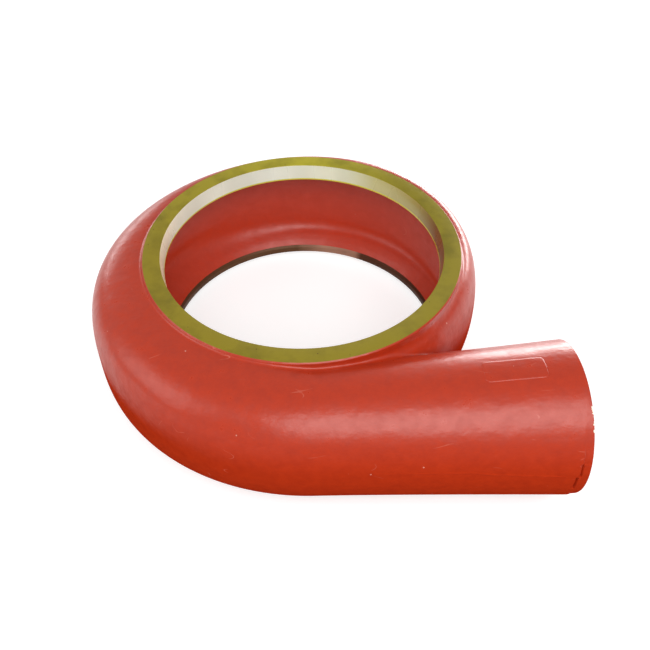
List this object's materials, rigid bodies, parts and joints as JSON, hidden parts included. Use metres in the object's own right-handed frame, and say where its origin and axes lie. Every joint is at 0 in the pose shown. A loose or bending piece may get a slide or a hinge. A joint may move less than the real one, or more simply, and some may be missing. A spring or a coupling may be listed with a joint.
{
  "type": "volute pump casing",
  "caption": "One-piece cast spiral pump casing with machined seats on both sides of the pump axis and a tangential round discharge nozzle.",
  "frame": {"origin": "on the pump axis, in the plane of the lower machined ring face", "axes": "+Z along the pump axis towards the upper ring, +X along the discharge nozzle towards its end, nozzle on the -Y side"},
  "size_m": [0.6385, 0.6438, 0.2037],
  "materials": {
    "painted_casting": "gloss red oxide paint over a sand-cast skin, rings and seats bare"
  },
  "bodies": {
    "root": {"volute_casing": "painted_casting"}
  },
  "joints": []
}
